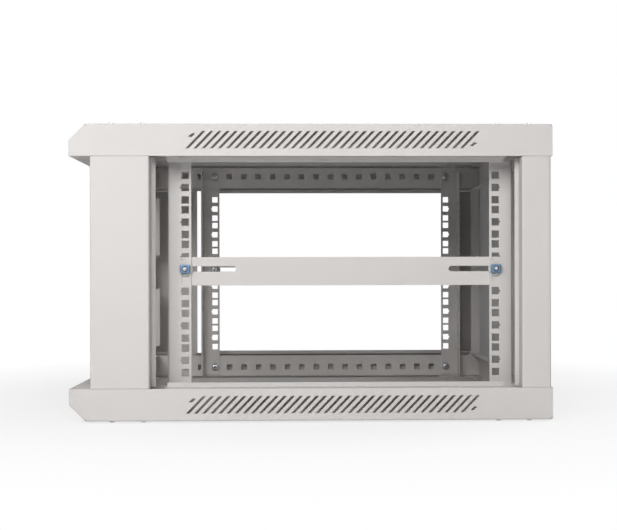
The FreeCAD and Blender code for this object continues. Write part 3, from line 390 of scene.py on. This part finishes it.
# %% The two screws
def make_screw(name, thread, head, head_height, length, cross):
    recess, arm, depth = cross
    root = thread / 2 - THREAD_DEPTH
    rim = head_height * RIM_SHARE
    shank = [(0, -length), (root * 0.75, -length), (root, -length + TIP_CHAMFER),
             (root, -0.4 * MM),
             (thread / 2 * 0.97, -0.2 * MM), (thread / 2 * 0.97, 0), (head / 2 - 0.2 * MM, 0)]
    dome = []
    for step in range(DOME_STEPS + 1):
        turn = math.radians(90) * step / DOME_STEPS
        dome.append((head / 2 * (DOME_FLAT + (1 - DOME_FLAT) * math.cos(turn)),
                     rim + (head_height - rim) * math.sin(turn)))
    screw = spin_outline(name, shank + [(head / 2, 0.2 * MM)] + dome + [(0, head_height)])
    for wide, tall in ((recess, arm), (arm, recess)):
        low = (-wide / 2, -tall / 2, head_height - depth)
        high = (wide / 2, tall / 2, head_height + 0.1 * MM)
        take_away(screw, box_piece("blade", low, high, BLADE_TAPER))
    return screw


rack_screw = make_screw("rack_screw_pattern", RACK_THREAD, RACK_HEAD, RACK_HEAD_HEIGHT,
                        RACK_LENGTH, RACK_RECESS)
cover_screw = make_screw("cover_screw_pattern", COVER_THREAD, COVER_HEAD, COVER_HEAD_HEIGHT,
                         COVER_LENGTH, COVER_RECESS)
print("rack screw", len(rack_screw.data.polygons), "faces, cover screw",
      len(cover_screw.data.polygons), "faces")

# %% [markdown]
# A cage is one strip of spring steel, folded round the nut and open at its two ends. Its
# outline is drawn once as a line, pulled out to a strip and thickened with Solidify. The nut
# is a square block with a bore, and a small Bevel takes the sharpness off its edges.

# %% The cage, the nut and the washer
def make_cage(name):
    half = NUT_WIDTH / 2 + PLAY + CAGE_SHEET / 2
    top = NUT_HEIGHT + 2 * PLAY + 1.5 * CAGE_SHEET
    low = CAGE_SHEET / 2
    leg = SQUARE_HOLE / 2 - PLAY - CAGE_SHEET / 2
    line = [(leg, -LEG_REACH), (leg, low), (half, low), (half, top),
            (-half, top), (-half, low), (-leg, low), (-leg, -LEG_REACH)]
    form = bmesh.new()
    rows = [[form.verts.new((x, y, z)) for y, z in line]
            for x in (-CAGE_WIDTH / 2, CAGE_WIDTH / 2)]
    for index in range(len(line) - 1):
        form.faces.new((rows[0][index], rows[0][index + 1], rows[1][index + 1],
                        rows[1][index]))
    cage = finish_mesh(name, form)
    rounding = cage.modifiers.new("folds", "BEVEL")
    rounding.width = FOLD_RADIUS
    rounding.segments = 3
    sheet = cage.modifiers.new("sheet", "SOLIDIFY")
    sheet.thickness = CAGE_SHEET
    sheet.offset = 0
    settle(cage)
    window = spin_outline("window", [(0, top - MM), (RACK_THREAD / 2 + CAGE_SHEET, top - MM),
                                     (RACK_THREAD / 2 + CAGE_SHEET, top + MM), (0, top + MM)])
    take_away(cage, window)
    return cage


def make_nut(name):
    seat = CAGE_SHEET + PLAY
    nut = box_piece(name, (-NUT_WIDTH / 2, -NUT_WIDTH / 2, seat),
                    (NUT_WIDTH / 2, NUT_WIDTH / 2, seat + NUT_HEIGHT))
    rounding = nut.modifiers.new("edges", "BEVEL")
    rounding.width = NUT_EDGE
    rounding.segments = 2
    settle(nut)
    bore = RACK_THREAD / 2 + BORE_PLAY
    mouth = bore + NUT_CHAMFER
    top = seat + NUT_HEIGHT
    cutter = spin_outline("bore", [(0, seat - MM), (mouth, seat - MM), (mouth, seat),
                                   (bore, seat + NUT_CHAMFER), (bore, top - NUT_CHAMFER),
                                   (mouth, top), (mouth, top + MM), (0, top + MM)])
    take_away(nut, cutter)
    return nut


def make_washer(name):
    edge = WASHER_WIDTH / 2
    soft = WASHER_EDGE
    washer = spin_outline(name, [(0, 0), (edge - soft, 0), (edge, soft),
                                 (edge, WASHER_SHEET - soft), (edge - soft, WASHER_SHEET),
                                 (0, WASHER_SHEET)], 48)
    half = SQUARE_HOLE / 2
    take_away(washer, box_piece("square", (-half, -half, -MM), (half, half, 2 * MM)))
    return washer


cage = make_cage("cage_pattern")
nut = make_nut("nut_pattern")
washer = make_washer("washer_pattern")
print("cage", len(cage.data.polygons), "nut", len(nut.data.polygons), "washer",
      len(washer.data.polygons), "faces")

# %% [markdown]
# ## Setting out the fasteners
#
# The nuts of the rails stand at the corners of a rectangle on each side. Their box, less half
# a nut all round, gives that rectangle. The same goes for the other groups. Each cover has
# eight screws near its corners and two more that hold the plate of its cable entry. A spot
# is a place and the direction in which the fastener looks.

# %% Places and directions
def middles(name, inset):
    """The outermost middles of a group along Y and Z, from its box."""
    low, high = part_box(name)
    return (low.y + inset, high.y - inset), (low.z + inset, high.z - inset)


def side_spots(reach, columns, levels, outward):
    """Spots on both sides of the cabinet, looking outward (1) or inward (-1)."""
    return [(Vector((side * reach, y, z)), Vector((side * outward, 0, 0)))
            for side in (1, -1) for y in columns for z in levels]


rail_columns, rail_levels = middles("rail_nuts", NUT_WIDTH / 2)
brace_columns, brace_levels = middles("brace_nuts", NUT_WIDTH / 2)
brace_level = (sum(brace_levels) / 2,)
rail_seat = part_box("depth_rail_top_right")[0].x + DEPTH_SHEET
rail_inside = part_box("side_brace_right")[1].x
brace_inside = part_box("side_brace_right")[0].x
brace_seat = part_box("brace_washers")[1].x

cover_low, cover_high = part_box("top_cover_screws")
cover_x = cover_high.x - COVER_HEAD / 2
front_pair = cover_low.y + COVER_HEAD / 2
rear_pair = cover_high.y - COVER_HEAD / 2
cover_rows = (front_pair, front_pair + COVER_PAIR, rear_pair - COVER_PAIR, rear_pair)
cover_top = cover_high.z - COVER_HEAD_HEIGHT
cover_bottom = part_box("bottom_cover_screws")[0].z + COVER_HEAD_HEIGHT
entry_low, entry_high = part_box("top_entry_cover")
entry_x = entry_high.x - ENTRY_LAP / 2
entry_y = (entry_low.y + entry_high.y) / 2
cover_places = [(x, y) for x in (cover_x, -cover_x) for y in cover_rows]
cover_places += [(entry_x, entry_y), (-entry_x, entry_y)]
cover_spots = [(Vector((x, y, z)), Vector((0, 0, up)))
               for z, up in ((cover_top, 1), (cover_bottom, -1)) for x, y in cover_places]
print("rail columns", rail_columns, "levels", rail_levels, "seat", rail_seat)
print("brace columns", brace_columns, "level", brace_level, "seat", brace_seat)

# %% [markdown]
# ## Repeating a fastener with Geometry Nodes
#
# A fastener is modelled once and then repeated by a tree of nodes. The tree takes a mesh of
# bare points, one for each spot, with the direction kept as an attribute. It sweeps a thread
# along a spiral, joins it to the pattern and puts the result on every point, turned from Z to
# the point's direction. The thread's pitch, radius and length are named inputs, so one tree
# serves screws of both sizes, and a length of zero leaves the thread out.

# %% The tree that repeats a fastener
def wire(tree, start, end):
    tree.links.new(start, end)


def repeating_tree():
    tree = bpy.data.node_groups.new("repeat_fastener", "GeometryNodeTree")
    face = tree.interface
    face.new_socket("Geometry", in_out="INPUT", socket_type="NodeSocketGeometry")
    face.new_socket("Pattern", in_out="INPUT", socket_type="NodeSocketObject")
    for name in ("Thread Radius", "Thread Pitch", "Thread Length", "Thread Start"):
        face.new_socket(name, in_out="INPUT", socket_type="NodeSocketFloat")
    face.new_socket("Finish", in_out="INPUT", socket_type="NodeSocketMaterial")
    face.new_socket("Geometry", in_out="OUTPUT", socket_type="NodeSocketGeometry")
    entry = tree.nodes.new("NodeGroupInput")
    leave = tree.nodes.new("NodeGroupOutput")

    turns = tree.nodes.new("ShaderNodeMath")
    turns.operation = "DIVIDE"
    wire(tree, entry.outputs["Thread Length"], turns.inputs[0])
    wire(tree, entry.outputs["Thread Pitch"], turns.inputs[1])
    spiral = tree.nodes.new("GeometryNodeCurveSpiral")
    spiral.inputs["Resolution"].default_value = 24
    wire(tree, turns.outputs[0], spiral.inputs["Rotations"])
    wire(tree, entry.outputs["Thread Radius"], spiral.inputs["Start Radius"])
    wire(tree, entry.outputs["Thread Radius"], spiral.inputs["End Radius"])
    wire(tree, entry.outputs["Thread Length"], spiral.inputs["Height"])

    ridge_size = tree.nodes.new("ShaderNodeMath")
    ridge_size.operation = "MULTIPLY"
    ridge_size.inputs[1].default_value = 0.5
    wire(tree, entry.outputs["Thread Pitch"], ridge_size.inputs[0])
    ridge = tree.nodes.new("GeometryNodeCurvePrimitiveCircle")
    ridge.inputs["Resolution"].default_value = 4
    wire(tree, ridge_size.outputs[0], ridge.inputs["Radius"])
    sweep = tree.nodes.new("GeometryNodeCurveToMesh")
    sweep.inputs["Fill Caps"].default_value = True
    wire(tree, spiral.outputs["Curve"], sweep.inputs["Curve"])
    wire(tree, ridge.outputs["Curve"], sweep.inputs["Profile Curve"])
    lower = tree.nodes.new("GeometryNodeTransform")
    shift = tree.nodes.new("ShaderNodeCombineXYZ")
    wire(tree, entry.outputs["Thread Start"], shift.inputs["Z"])
    wire(tree, sweep.outputs["Mesh"], lower.inputs["Geometry"])
    wire(tree, shift.outputs["Vector"], lower.inputs["Translation"])

    threaded = tree.nodes.new("FunctionNodeCompare")
    threaded.data_type = "FLOAT"
    threaded.operation = "GREATER_THAN"
    threaded.inputs["B"].default_value = 0.0
    wire(tree, entry.outputs["Thread Length"], threaded.inputs["A"])
    choose = tree.nodes.new("GeometryNodeSwitch")
    choose.input_type = "GEOMETRY"
    wire(tree, threaded.outputs["Result"], choose.inputs["Switch"])
    wire(tree, lower.outputs["Geometry"], choose.inputs["True"])

    pattern = tree.nodes.new("GeometryNodeObjectInfo")
    wire(tree, entry.outputs["Pattern"], pattern.inputs["Object"])
    join = tree.nodes.new("GeometryNodeJoinGeometry")
    wire(tree, choose.outputs["Output"], join.inputs["Geometry"])
    wire(tree, pattern.outputs["Geometry"], join.inputs["Geometry"])

    facing = tree.nodes.new("GeometryNodeInputNamedAttribute")
    facing.data_type = "FLOAT_VECTOR"
    facing.inputs["Name"].default_value = "facing"
    turn = tree.nodes.new("FunctionNodeAlignRotationToVector")
    turn.axis = "Z"
    wire(tree, facing.outputs["Attribute"], turn.inputs["Vector"])
    copies = tree.nodes.new("GeometryNodeInstanceOnPoints")
    wire(tree, entry.outputs["Geometry"], copies.inputs["Points"])
    wire(tree, join.outputs["Geometry"], copies.inputs["Instance"])
    wire(tree, turn.outputs["Rotation"], copies.inputs["Rotation"])
    real = tree.nodes.new("GeometryNodeRealizeInstances")
    wire(tree, copies.outputs["Instances"], real.inputs["Geometry"])
    finish = tree.nodes.new("GeometryNodeSetMaterial")
    wire(tree, real.outputs["Geometry"], finish.inputs["Geometry"])
    wire(tree, entry.outputs["Finish"], finish.inputs["Material"])
    wire(tree, finish.outputs["Geometry"], leave.inputs["Geometry"])
    return tree


REPEAT = repeating_tree()
print("the tree has", len(REPEAT.nodes), "nodes")

# %% [markdown]
# The points go into a mesh of their own. The tree's inputs are set by their identifiers before
# anything is evaluated. The evaluated result then becomes a plain mesh, because the export
# knows no live modifiers and no instances.

# %% Putting fasteners in their places
def set_input(modifier, name, value):
    for item in modifier.node_group.interface.items_tree:
        if item.item_type == "SOCKET" and item.in_out == "INPUT" and item.name == name:
            modifier[item.identifier] = value


def put_in_place(name, pattern, spots, finish, thread=(0.0, 0.0, 0.0, 0.0)):
    """A piece made of copies of a pattern; thread is radius, pitch, length and start."""
    mesh = bpy.data.meshes.new(name)
    mesh.from_pydata([place for place, facing in spots], [], [])
    attribute = mesh.attributes.new("facing", "FLOAT_VECTOR", "POINT")
    for index, (place, facing) in enumerate(spots):
        attribute.data[index].vector = facing
    piece = bpy.data.objects.new(name, mesh)
    bpy.context.scene.collection.objects.link(piece)
    modifier = piece.modifiers.new("repeat", "NODES")
    modifier.node_group = REPEAT
    set_input(modifier, "Pattern", pattern)
    set_input(modifier, "Finish", finish)
    for label, value in zip(("Thread Radius", "Thread Pitch", "Thread Length", "Thread Start"),
                            thread):
        set_input(modifier, label, value)
    settle(piece)
    piece.data.name = name
    for polygon in piece.data.polygons:
        polygon.use_smooth = False
    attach(piece, "root")
    print(name, len(spots), "copies,", len(piece.data.polygons), "faces")
    return piece


rack_thread = (RACK_THREAD / 2 - THREAD_DEPTH, RACK_PITCH, RACK_LENGTH - 1.5 * MM,
               -RACK_LENGTH + 0.6 * MM)
cover_thread = (COVER_THREAD / 2 - COVER_RIDGE_INSET, COVER_PITCH,
                COVER_LENGTH - 1.3 * MM, -COVER_LENGTH + 0.5 * MM)
rail_screws = put_in_place("fine_rail_screws", rack_screw,
                           side_spots(rail_inside, rail_columns, rail_levels, -1),
                           zinc, rack_thread)
brace_screws = put_in_place("fine_brace_screws", rack_screw,
                            side_spots(brace_inside, brace_columns, brace_level, -1),
                            zinc, rack_thread)
cover_screws = put_in_place("fine_cover_screws", cover_screw, cover_spots, zinc,
                            cover_thread)

# %% Cages, nuts and washers in their places
rail_spots = side_spots(rail_seat, rail_columns, rail_levels, 1)
brace_spots = side_spots(brace_seat, brace_columns, brace_level, 1)
rail_cages = put_in_place("fine_rail_cages", cage, rail_spots, blue_zinc)
rail_nuts = put_in_place("fine_rail_nuts", nut, rail_spots, blue_zinc)
brace_cages = put_in_place("fine_brace_cages", cage, brace_spots, blue_zinc)
brace_nuts = put_in_place("fine_brace_nuts", nut, brace_spots, blue_zinc)
washer_face = brace_seat - WASHER_SHEET
brace_washers = put_in_place("fine_brace_washers", washer,
                             side_spots(washer_face, brace_columns, brace_level, 1),
                             nylon)

# %% [markdown]
# The fine pieces stand for the plain solids of the frame, so those are hidden. The patterns
# have done their work and are removed.

# %% Fine fasteners for plain ones
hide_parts("rack_rail_screws")
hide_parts("brace_screws")
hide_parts("top_cover_screws", "bottom_cover_screws")
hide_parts("rail_nut_cages")
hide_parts("rail_nuts")
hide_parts("brace_nut_cages")
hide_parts("brace_nuts")
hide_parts("brace_washers")
for pattern in (rack_screw, cover_screw, cage, nut, washer):
    bpy.data.objects.remove(pattern)
print("plain fasteners are replaced")

# %% [markdown]
# ## Floor and background
#
# The cabinet stands on a plain pale floor that fades into white. Close to the cabinet the
# camera's rays and reflections see it partly as an ordinary matt surface, so it keeps some of
# the shadow, and partly as a white glow that lights nothing; further out the glow takes over.
# The world does the same, and it gives the other rays a soft grey sky.

# %% Floor and sky
FLOOR_REACH = 30.0
SHADOW_NEAR = 0.32
SHADOW_FAR = 0.8
GLOW_NEAR = 0.72
GLOW_FAR = 1.0
SKY_STRENGTH = 0.05


def seen_rays(tree):
    """1 for rays of the camera, of reflections and of transmission, else 0."""
    rays = tree.nodes.new("ShaderNodeLightPath")
    total = rays.outputs["Is Camera Ray"]
    for name in ("Is Glossy Ray", "Is Transmission Ray"):
        most = tree.nodes.new("ShaderNodeMath")
        most.operation = "MAXIMUM"
        tree.links.new(total, most.inputs[0])
        tree.links.new(rays.outputs[name], most.inputs[1])
        total = most.outputs[0]
    return total


def floor_material():
    material, tree, shader, spots = start_material("pale_floor", 0.8)
    shader.inputs["Base Color"].default_value = (0.82, 0.82, 0.82, 1)
    shader.inputs["Specular IOR Level"].default_value = 0.1
    glow = tree.nodes.new("ShaderNodeEmission")
    away = tree.nodes.new("ShaderNodeVectorMath")
    away.operation = "LENGTH"
    tree.links.new(spots, away.inputs[0])
    far = spread(tree, away.outputs["Value"], GLOW_NEAR, GLOW_FAR, SHADOW_NEAR,
                 SHADOW_FAR)
    share = tree.nodes.new("ShaderNodeMath")
    share.operation = "MULTIPLY"
    tree.links.new(far, share.inputs[0])
    tree.links.new(seen_rays(tree), share.inputs[1])
    mix = tree.nodes.new("ShaderNodeMixShader")
    tree.links.new(share.outputs[0], mix.inputs[0])
    tree.links.new(shader.outputs[0], mix.inputs[1])
    tree.links.new(glow.outputs[0], mix.inputs[2])
    tree.links.new(mix.outputs[0], tree.nodes["Material Output"].inputs["Surface"])
    return material


bpy.ops.mesh.primitive_plane_add(size=2 * FLOOR_REACH, location=(0, 0, cad_low.z))
floor = bpy.context.object
floor.name = "pale_floor"
floor.data.materials.append(floor_material())

world = bpy.context.scene.world or bpy.data.worlds.new("soft_sky")
bpy.context.scene.world = world
world.use_nodes = True
sky = world.node_tree
sky.nodes.clear()
soft = sky.nodes.new("ShaderNodeBackground")
soft.inputs["Color"].default_value = (0.98, 0.99, 1.0, 1)
soft.inputs["Strength"].default_value = SKY_STRENGTH
white = sky.nodes.new("ShaderNodeBackground")
white.inputs["Color"].default_value = (1, 1, 1, 1)
white.inputs["Strength"].default_value = 1.0
both = sky.nodes.new("ShaderNodeMixShader")
shown = sky.nodes.new("ShaderNodeOutputWorld")
sky.links.new(seen_rays(sky), both.inputs[0])
sky.links.new(soft.outputs[0], both.inputs[1])
sky.links.new(white.outputs[0], both.inputs[2])
sky.links.new(both.outputs[0], shown.inputs["Surface"])
print("floor and sky are white where nothing is in shadow")

# %% [markdown]
# ## Light
#
# The photograph's light is soft and comes from beside the camera, a little from above: the
# near rails are almost as bright as the posts, and the far side is in shade. One wide lamp
# stands there. A small one makes the front slightly brighter than the rear. Two more, over
# and behind the cabinet, give the top and the rear their light in other views. They stand
# high, so that little of their light gets in through the open sides.

# %% Lamps
def add_lamp(name, place, target, wide, high, power, colour=(1, 1, 1)):
    lamp = bpy.data.lights.new(name, "AREA")
    lamp.shape = "RECTANGLE"
    lamp.size = wide
    lamp.size_y = high
    lamp.energy = power
    lamp.color = colour
    holder = bpy.data.objects.new(name, lamp)
    bpy.context.scene.collection.objects.link(holder)
    holder.location = place
    holder.rotation_mode = "QUATERNION"
    holder.rotation_quaternion = (Vector(target) - Vector(place)).to_track_quat("-Z", "Y")


middle = (cad_low + cad_high) / 2
# Each lamp: its name, place, target, width, height, watts and, if not white, its colour.
LAMPS = (
    ("side_softbox", (1.9, -0.4, 1.08), (0.3, -0.1, 0.3), 2.2, 1.0, 29, (1.0, 0.975, 0.97)),
    ("front_accent", (1.35, -0.6, 0.75), (0.3, -0.3, 0.2), 0.6, 0.5, 3.4, (1.0, 0.98, 0.975)),
    ("back_softbox", (-1.0, 1.9, 2.2), middle, 1.4, 1.0, 24),
    ("overhead", (0.0, 0.0, 2.4), middle, 1.6, 1.6, 11),
)
for lamp_values in LAMPS:
    add_lamp(*lamp_values)
print(len(LAMPS), "soft lamps")

# %% [markdown]
# ## Camera
#
# The picture is square-on to the right side, taken from about 1.66 m with a short telephoto
# lens. Lines along X run together a little left of the middle of the frame, which gives the
# camera's place. It is turned slightly toward the rear and rolled by a tenth of a degree, and
# a small shift brings the cabinet back to where the frame has it.

# %% Camera
FRAME_WIDTH = 617
FRAME_HEIGHT = 530
SENSOR_WIDTH = 36
FOCAL_PIXELS = 1098
VANISH_X = 300.9
VANISH_Y = 271.0
YAW = math.radians(1.21)
ROLL = math.radians(-0.115)
CAMERA_DISTANCE = 1.660
CAMERA_ALONG = -13.4 * MM
CAMERA_ABOVE_MIDDLE = 1.3 * MM

camera = bpy.data.cameras.new("side_view")
camera.sensor_width = SENSOR_WIDTH
camera.lens = FOCAL_PIXELS * camera.sensor_width / FRAME_WIDTH
principal_x = VANISH_X + FOCAL_PIXELS * math.tan(YAW)
camera.shift_x = (FRAME_WIDTH / 2 - principal_x) / FRAME_WIDTH
camera.shift_y = (VANISH_Y - FRAME_HEIGHT / 2) / FRAME_WIDTH
holder = bpy.data.objects.new("side_view", camera)
bpy.context.scene.collection.objects.link(holder)
holder.location = (CAMERA_DISTANCE, CAMERA_ALONG, middle.z + CAMERA_ABOVE_MIDDLE)
holder.rotation_mode = "QUATERNION"
look = Vector((-math.cos(YAW), math.sin(YAW), 0))
holder.rotation_quaternion = look.to_track_quat("-Z", "Y") @ Quaternion((0, 0, 1), ROLL)
bpy.context.scene.camera = holder
bpy.context.scene.view_settings.view_transform = "Standard"
print("lens", round(camera.lens, 2), "shift", round(camera.shift_x, 4), round(camera.shift_y, 4))
